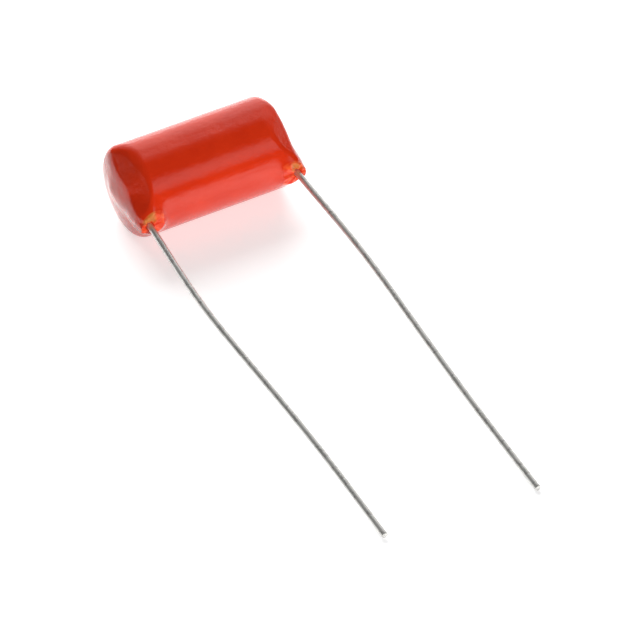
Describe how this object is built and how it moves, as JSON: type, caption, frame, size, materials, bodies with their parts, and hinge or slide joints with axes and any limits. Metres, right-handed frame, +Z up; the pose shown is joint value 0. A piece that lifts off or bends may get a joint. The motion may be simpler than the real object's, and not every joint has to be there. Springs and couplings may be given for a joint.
{
  "type": "polypropylene film capacitor",
  "caption": "Film capacitor dipped in glossy orange-red epoxy, lying on its side with long tinned wire leads.",
  "frame": {"origin": "middle of the footprint, on the surface that the part lies on", "axes": "+X along the body's long axis, -Y the way the leads point, +Z up"},
  "size_m": [0.0236, 0.0724, 0.0116],
  "materials": {
    "epoxy": "glossy dip coating, matt where it broke at the leads",
    "tinned_wire": "tinned, satin, with fine drawing lines",
    "film": "clear film over metal foil",
    "sprayed_metal": "rough sprayed zinc",
    "solder": "smooth bright solder"
  },
  "bodies": {
    "root": {"epoxy_coating": "epoxy", "film_winding": "film", "end_spray_left": "sprayed_metal", "end_spray_right": "sprayed_metal", "solder_joint_left": "solder", "solder_joint_right": "solder", "lead_left": "tinned_wire", "lead_right": "tinned_wire"}
  },
  "joints": []
}
